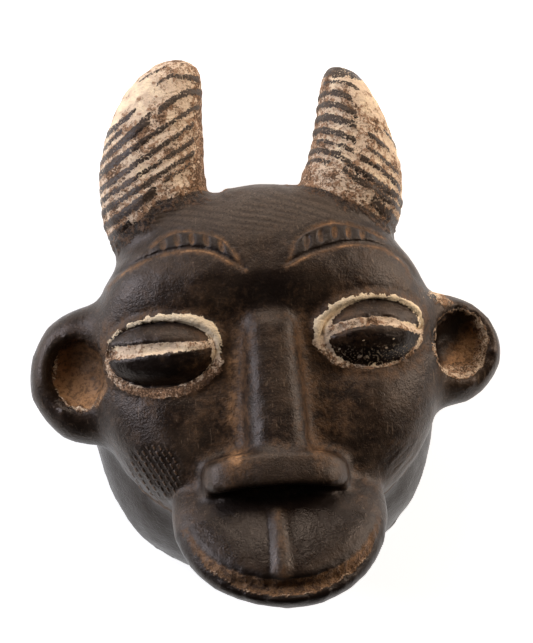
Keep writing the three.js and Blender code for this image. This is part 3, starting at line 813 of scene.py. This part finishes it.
def dust_nose(skin):
    """Dust down the sides of the nose and over its bar. Painted shade darkens the nose's edges and
    the middle of the bar's face, and painted shadow lies along and under the bar's lower edge.
    """
    on_face, on_lip, on_bar = [skin.z > LOWEST[part] for part in ("face", "lip", "bar")]
    for side in (-1, 1):
        flank = hump(skin.x, side * (9.6 + (10 - skin.y) * 0.07), 4.5)
        flank *= ramp(skin.y, 24, 6) * ramp(skin.y, -36, -26) * (skin.z > 38)
        skin.dust((0.76 - 0.08 * side) * flank)
    nose = ramp(skin.y, 18, 10) * ramp(skin.y, -27, -22) * on_bar
    # Painted shade darkens the nose's edges, dimming their highlights.
    skin.blacken(0.8 * hump(np.abs(skin.x - 0.4), 6.2, 2.4) * nose)

    across = (skin.x - NOSE_BAR["x"]) / NOSE_BAR["half"]
    edge = skin.y - NOSE_BAR["top"] + NOSE_BAR["drop"] * across ** 2
    across = np.abs(across)
    skin.dust(0.42 * hump(edge, 1.4, 2.0) * ramp(across, 1.12, 0.98) * on_lip)
    skin.dust(0.42 * hump(edge, -5.0, 6.0) * hump(across, 1.16, 0.16) * on_face)
    # A painted shadow along the bar's lower edge.
    skin.blacken(0.8 * hump(edge, -10.6, 1.6) * ramp(across, 1.2, 1.0) * on_bar)
    # Painted shade darkens the middle of the bar's face.
    face = ramp(edge, -2.0, -4.0) * ramp(edge, -12, -9) * ramp(across, 0.9, 0.4)
    skin.blacken(0.45 * face * on_bar)
    # A painted shadow under the bar, in the pocket above the lip.
    painted_shadow_under_bar = ramp(edge, -10.5, -12.5) * ramp(edge, -22, -15) * ramp(across, 1.0, 0.7)
    skin.blacken(0.95 * painted_shadow_under_bar * on_face)


def settle_dust(skin, edges):
    """Dust in every hollow and over the middle of the face, painted shade on the jaw, and partly
    painted shade between the brows. Ridges are rubbed smooth.
    """
    on_face, sideways = skin.z > LOWEST["face"], np.abs(skin.x)
    # A thin veil lies between the eyes and the nose.
    veil = hump(sideways, 15, 12) * ramp(skin.y, -32, -16) * ramp(skin.y, 28, 14)
    skin.dust(0.46 * veil * on_face)
    # The jaw behind the cheeks is darkened as painted shade, and the dip between the brows is
    # near-black, partly dark patina and partly painted shade.
    skin.blacken(0.8 * ramp(skin.z, 38, 24) * ramp(skin.y, -14, -24) * ramp(sideways, 12, 24))
    skin.blacken(0.88 * hump(skin.x, 0, 17) * hump(skin.y, 21, 7.5) * on_face)
    hollow = ((relaxed(skin.points, edges, HOLLOWING) - skin.points) * skin.normals).sum(1)
    skin.dust(0.4 * ramp(hollow, 0.1, 0.8) * skin.front)
    skin.ochre = np.clip(skin.ochre * (0.92 + 0.35 * skin.slow + 0.15 * skin.quick), 0, 1)
    skin.polish = np.clip(skin.polish + 0.35 * ramp(-hollow, 0.03, 0.35), 0, 1)
    crown = ramp(skin.y, 33, 43) * ramp(sideways, 36, 22) * (skin.z > LOWEST["ear"])
    skin.dry = np.maximum(skin.dry, crown * (1 - skin.crust) * (0.8 + 0.2 * skin.slow))


def gouge_hollow(skin):
    """The plain hollow of the back, left with the strokes of the gouge."""
    radius = oval(skin.points, HOLLOW["middle"], HOLLOW["half"], full=2.6)[0]
    inside = (radius < 1.0) & (skin.z < 38.5) & (skin.normals[:, 2] < 0.2)
    skin.bare = np.maximum(inside, 0.6 * ramp(skin.z, 1.5, 0.3))
    stroke = np.abs(np.sin(math.pi * (skin.x + 1.2 * skin.slow) / HOLLOW["stroke"]))
    skin.lift += 0.35 * inside * (0.5 - stroke) * ramp(skin.z, 2, 6)


def carve(piece, settings):
    """Cuts the fine relief and keeps, for each point, how the finish lies there."""
    mesh = piece.data
    skin = Skin(mesh)
    skin.lift += settings.unevenness / MM * skin.slow + 0.05 * skin.quick
    for place, reach, lift in SWELLS:
        skin.lift += lift * hump(np.hypot(skin.x - place[0], skin.y - place[1]), 0, reach)
    gouge_hollow(skin)
    for horn in (LEFT_HORN, RIGHT_HORN):
        carve_horn(skin, horn, settings)
    for eye in (LEFT_EYE, RIGHT_EYE):
        paint_eye(skin, eye)
    for brow in (LEFT_BROW, RIGHT_BROW):
        cut_brow(skin, brow)
    cut_cheeks(skin)
    dust_nose(skin)
    settle_dust(skin, edges_of(mesh))
    for bowl in BOWLS:
        dust_bowl(skin, bowl)
    paint_mouth(skin)
    cut_philtrum(skin)
    skin.lift += settings.pigment_thickness / MM * ramp(skin.pigment, -0.1, 0.25)
    skin.lift += 0.3 * skin.crust * skin.quick

    flat_rim = ramp(skin.z, 0.5, 2.0)
    carved = skin.points + skin.normals * (skin.lift * flat_rim)[:, None]
    carved[:, 2] = np.maximum(carved[:, 2], 0)
    put(mesh, carved)
    for name in FINISHES:
        layer = mesh.attributes.new(name, "FLOAT", "POINT")
        layer.data.foreach_set("value", getattr(skin, name).astype(np.float32))


def node(tree, kind, sockets=None, **settings):
    """Adds a node, sets it up, and feeds its sockets with values or with other nodes' outputs."""
    made = tree.nodes.new("ShaderNode" + kind)
    for key, value in settings.items():
        setattr(made, key, value)
    for key, value in (sockets or {}).items():
        if isinstance(value, bpy.types.NodeSocket):
            tree.links.new(value, made.inputs[key])
        else:
            made.inputs[key].default_value = value
    return made


def per(size):
    """A texture's scale for features of the given size in mm."""
    return 1 / (size * MM)


def carved_wood_with_kaolin(finish):
    """Light dense wood, knife-carved, blackened with oil and soot and polished by handling. Caked
    kaolin, a white clay, fills the grooves of the horns and rings the eyes, and dust has settled
    in the recesses: satin black-brown wood against chalky cream and earth. Painted shade and
    painted shadow darken it in places, and a painted highlight whitens the tops of the eye rings.
    """
    material = bpy.data.materials.new("carved_wood_with_kaolin")
    material.use_nodes = True
    tree = material.node_tree
    shader = tree.nodes["Principled BSDF"]
    where = node(tree, "TexCoord").outputs["Object"]
    kept = {name: node(tree, "Attribute", attribute_name=name).outputs["Fac"] for name in FINISHES}

    def lies(value, start, end, top=1.0, stirred=()):
        """How thickly a finish lies: 0 where its value is at start, and top where it is at end.
        Clouds stir the value first, each up and down by the amount given with it.
        """
        for cloud, amount in stirred:
            sway = node(tree, "Math", {0: cloud, 1: 0.5}, operation="SUBTRACT").outputs[0]
            sockets = {0: sway, 1: 2 * amount, 2: value}
            value = node(tree, "Math", sockets, operation="MULTIPLY_ADD").outputs[0]
        sockets = {"Value": value, "From Min": start, "From Max": end, "To Max": top}
        return node(tree, "MapRange", sockets, interpolation_type="SMOOTHSTEP").outputs["Result"]

    def coated(colour, *coats):
        """A colour under coats of others, each given as how thickly it lies and its colour."""
        for thickness, coat in coats:
            sockets = {0: thickness, 6: colour, 7: coat}
            colour = node(tree, "Mix", sockets, data_type="RGBA").outputs[2]
        return colour

    def built_up(base, *shares, how="ADD"):
        """A value with shares of others added, or the highest of them. Each share is a product."""
        for value, *factors in shares:
            for factor in factors:
                value = node(tree, "Math", {0: value, 1: factor}, operation="MULTIPLY").outputs[0]
            base = node(tree, "Math", {0: base, 1: value}, operation=how).outputs[0]
        return base

    clouded = []
    for size, detail, rough in CLOUDS.values():
        sockets = {"Vector": where, "Scale": per(size), "Detail": detail, "Roughness": rough}
        clouded.append(lies(node(tree, "TexNoise", sockets).outputs["Fac"], 0.3, 0.7))
    blotches, patchy, specks, grit = clouded

    # Growth rings show as fine lines a millimetre apart, in parts of the dry crown.
    sockets = {"Vector": where, "Location": (0.012, 0.045, 0.0)}
    sockets = {
        "Vector": node(tree, "Mapping", sockets).outputs[0], "Scale": per(3.2),
        "Distortion": 3.0, "Detail": 2.0, "Detail Scale": 0.2,
    }
    waves = node(tree, "TexWave", sockets, wave_type="RINGS", rings_direction="SPHERICAL")
    rings = waves.outputs["Fac"]
    ringed = built_up(0, (kept["dry"], lies(blotches, 0.25, 0.75)))
    # Scratches are as thin as the render can show, and run slantwise.
    sockets = {"Vector": where, "Rotation": (0.0, 0.0, 0.6), "Scale": (1.0, 0.1, 1.0)}
    sockets = {
        "Vector": node(tree, "Mapping", sockets).outputs[0], "Scale": per(0.7), "Detail": 1.0,
    }
    scratches = node(tree, "TexNoise", sockets).outputs["Fac"]

    wood = coated(
        finish.patina,
        (lies(blotches, 0.2, 0.9), finish.patina_brown),
        (lies(patchy, 0.5, 1.0, 0.5), linear("#46362A")),
        (lies(patchy, 0.5, 0.0, 0.5), linear("#1A1410")),
        (lies(specks, 0.6, 1.0, 0.35), linear("#46362A")),
        (kept["dry"], coated(finish.crown, (lies(grit, 0.6, 0.1, 0.6), linear("#30261E")))),
        (lies(grit, 0.9, 1.0, 0.35), linear("#6E5A48")),
        (lies(grit, 0.2, 0.0, 0.5), linear("#17110E")),
        (built_up(0, (ringed, lies(rings, 0.6, 0.1, 0.8))), linear("#2A211A")),
        (lies(scratches, 0.69, 0.75, 0.4), linear("#7A6653")),
        # Near-black patina, and painted shade and painted shadow where the finish says so.
        (lies(kept["soot_and_shade"], 0.1, 0.9, 0.95, [(patchy, 0.15)]), finish.soot_and_shade),
        (kept["bare"], coated(finish.inside_wood, (patchy, linear("#3A2A1D")))),
    )
    dusty = lies(kept["ochre"], 0.1, 0.95, 0.9, [(patchy, 0.2), (specks, 0.1)])
    earth = coated(
        finish.dust,
        (lies(kept["ochre"], 0.65, 1.0), finish.earth),
        (lies(specks, 0.7, 0.1, 0.6), linear("#3A291C")),
    )
    caked = lies(kept["crust"], 0.3, 0.7, 1.0, [(specks, 0.3)])
    crust = coated(linear("#17100C"), (lies(specks, 0.25, 0.95), linear("#5D4430")))
    # Pigment ends in a nibbled edge, and crumbs of it stay on the bare ribs.
    chalky = lies(kept["pigment"], -0.1, 0.1, 1.0, [(specks, 0.4), (grit, 0.3)])
    chalky = built_up(chalky, (lies(grit, 0.75, 0.93), kept["crumbs"]), how="MAXIMUM")
    chalk = coated(
        linear("#FFE6C0"),
        (lies(kept["stain"], -0.4, 0.5, 1.0, [(patchy, 0.4)]), finish.kaolin),
        (lies(kept["stain"], 0.4, 0.95, 0.85, [(specks, 0.6)]), finish.kaolin_stain),
        (lies(kept["stain"], 0.75, 1.1, 0.85, [(grit, 0.5), (patchy, 0.3)]), linear("#4C3625")),
    )
    colour = coated(wood, (dusty, earth), (caked, crust), (chalky, chalk))
    tree.links.new(colour, shader.inputs["Base Color"])

    # Polished wood is satin, and dry wood and dust are duller. Bare wood and pigment are dullest.
    rough = built_up(
        0.41, (blotches, 0.09), (kept["polish"], -0.2), (patchy, 0.06), (kept["dry"], 0.2),
        (dusty, 0.22),
    )
    rough = built_up(rough, (kept["bare"], 0.68), (chalky, 0.88), how="MAXIMUM")
    tree.links.new(rough, shader.inputs["Roughness"])

    # Shares of the relief, in mm.
    height = built_up(
        0, (grit, 0.035), (specks, 0.065), (rings, ringed, 0.12), (grit, dusty, 0.06),
        (specks, chalky, 0.16), (specks, caked, 0.25),
    )
    bump = node(tree, "Bump", {"Height": height, "Strength": 0.9, "Distance": MM})
    tree.links.new(bump.outputs["Normal"], shader.inputs["Normal"])
    shader.inputs["IOR"].default_value = 1.48
    shader.inputs["Specular IOR Level"].default_value = 0.4
    # Old oil in the patina gives its shine a slight brown.
    shader.inputs["Specular Tint"].default_value = linear("#FFEDDF")
    return material


class MASK_OT_carving(Operator):
    """Makes the carved mask: the solid's form with ribs, cuts, pits, pigment and dust"""

    bl_idname = "mask.carving"
    bl_label = "Carved mask"

    def execute(self, context):
        surface = context.scene.mask_surface
        piece = copy_of_solid()
        mesh_for_carving(piece, surface.coarse_step)
        carve(piece, surface)
        piece.data.materials.clear()
        piece.data.materials.append(carved_wood_with_kaolin(context.scene.mask_finish))
        bpy.ops.object.shade_smooth()
        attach(piece, "root")
        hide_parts("mask")
        return {"FINISHED"}


# The camera looks down on the mask from a little to the left, turned a little clockwise. Angles
# are in degrees and lengths in mm, and the scale is that at the target.
CAMERA = {
    "tilt": 3.6, "roll": 3.3, "distance": 865.0, "target": (0.24, 1.42, 35.0), "mm_per_pixel": 0.29,
}
PICTURE_HEIGHT = 643
SENSOR = 36.0

# Three large soft lights that face the mask: place in m, share of the side light, and colour.
LIGHTS = {
    "left_light": ((-0.78, 0.36, 0.32), 1.1, "#EAEEFF"),
    "right_light": ((0.78, 0.36, 0.32), 0.93, "#FFF0E2"),
    "top_light": ((0.0, 0.85, 0.36), 0.6, "#FFF4EA"),
}
LIGHT_SIZE = 0.5
LIGHT_AIM = (0.0, 0.0, 0.035)
WORLD_LIGHT = 0.02
# A floor of white paper, 4 m wide, that glows a little, so that it stays white under the lights.
FLOOR = {"size": 4, "rough": 0.9, "glow": 0.8}
WHITE = (1, 1, 1, 1)


def place_camera():
    tilt, roll = math.radians(CAMERA["tilt"]), math.radians(CAMERA["roll"])
    ahead = Vector((math.sin(tilt), 0, -math.cos(tilt)))
    level = Vector((math.cos(tilt), 0, math.sin(tilt)))
    north = Vector((0, 1, 0))
    right = level * math.cos(roll) - north * math.sin(roll)
    up = level * math.sin(roll) + north * math.cos(roll)
    data = bpy.data.cameras.new("camera")
    data.sensor_width = SENSOR
    data.lens = SENSOR * CAMERA["distance"] / (PICTURE_HEIGHT * CAMERA["mm_per_pixel"])
    data.clip_start = 0.01
    camera = bpy.data.objects.new("camera", data)
    bpy.context.scene.collection.objects.link(camera)
    turn = Matrix((right, up, -ahead)).transposed().to_4x4()
    place = (Vector(CAMERA["target"]) - ahead * CAMERA["distance"]) * MM
    camera.matrix_world = Matrix.Translation(place) @ turn
    bpy.context.scene.camera = camera


def soft_light(name, place, power, colour):
    """A large square studio light that faces the mask."""
    bpy.ops.object.light_add(type="AREA", location=place)
    light = bpy.context.object
    light.name = name
    ahead = Vector(LIGHT_AIM) - Vector(place)
    light.rotation_euler = ahead.to_track_quat("-Z", "Y").to_euler()
    light.data.shape = "SQUARE"
    light.data.size = LIGHT_SIZE
    light.data.energy = power
    light.data.color = linear(colour)[:3]


class MASK_OT_stage(Operator):
    """Makes the floor, the studio lights and the camera"""

    bl_idname = "mask.stage"
    bl_label = "Stage"

    def execute(self, context):
        stage = context.scene.mask_stage
        bpy.ops.object.select_all(action="DESELECT")
        bpy.ops.mesh.primitive_plane_add(size=FLOOR["size"])
        floor = context.object
        floor.name = "floor"
        # Matt white paper, with no sheen.
        paper = bpy.data.materials.new("white_paper_floor")
        paper.use_nodes = True
        shader = paper.node_tree.nodes["Principled BSDF"]
        shader.inputs["Base Color"].default_value = stage.floor_colour
        shader.inputs["Roughness"].default_value = FLOOR["rough"]
        shader.inputs["Emission Color"].default_value = WHITE
        shader.inputs["Emission Strength"].default_value = FLOOR["glow"]
        floor.data.materials.append(paper)
        for name, (place, share, colour) in LIGHTS.items():
            soft_light(name, place, stage.side_light * share, colour)
        world = bpy.data.worlds.new("studio")
        world.use_nodes = True
        background = world.node_tree.nodes["Background"]
        background.inputs["Color"].default_value = WHITE
        background.inputs["Strength"].default_value = WORLD_LIGHT
        context.scene.world = world
        context.scene.view_settings.view_transform = "Standard"
        place_camera()
        return {"FINISHED"}


class MASK_PT_panel(Panel):
    bl_label = "Miniature Mask"
    bl_idname = "MASK_PT_panel"
    bl_space_type = "VIEW_3D"
    bl_region_type = "UI"
    bl_category = "Mask"

    def draw(self, context):
        layout = self.layout
        scene = context.scene
        for group in (scene.mask_surface, scene.mask_finish, scene.mask_stage):
            box = layout.box()
            for name in group.bl_rna.properties.keys():
                if name not in ("rna_type", "name"):
                    box.prop(group, name)
        layout.operator(MASK_OT_carving.bl_idname)
        layout.operator(MASK_OT_stage.bl_idname)


CLASSES = (
    MaskSurfaceSettings, MaskFinishSettings, MaskStageSettings, MASK_OT_carving, MASK_OT_stage,
    MASK_PT_panel,
)


def register():
    for cls in CLASSES:
        bpy.utils.register_class(cls)
    bpy.types.Scene.mask_surface = PointerProperty(type=MaskSurfaceSettings)
    bpy.types.Scene.mask_finish = PointerProperty(type=MaskFinishSettings)
    bpy.types.Scene.mask_stage = PointerProperty(type=MaskStageSettings)


def unregister():
    del bpy.types.Scene.mask_surface
    del bpy.types.Scene.mask_finish
    del bpy.types.Scene.mask_stage
    for cls in reversed(CLASSES):
        bpy.utils.unregister_class(cls)


def main():
    register()
    bpy.ops.mask.carving()
    bpy.ops.mask.stage()


if __name__ == "__main__":
    main()
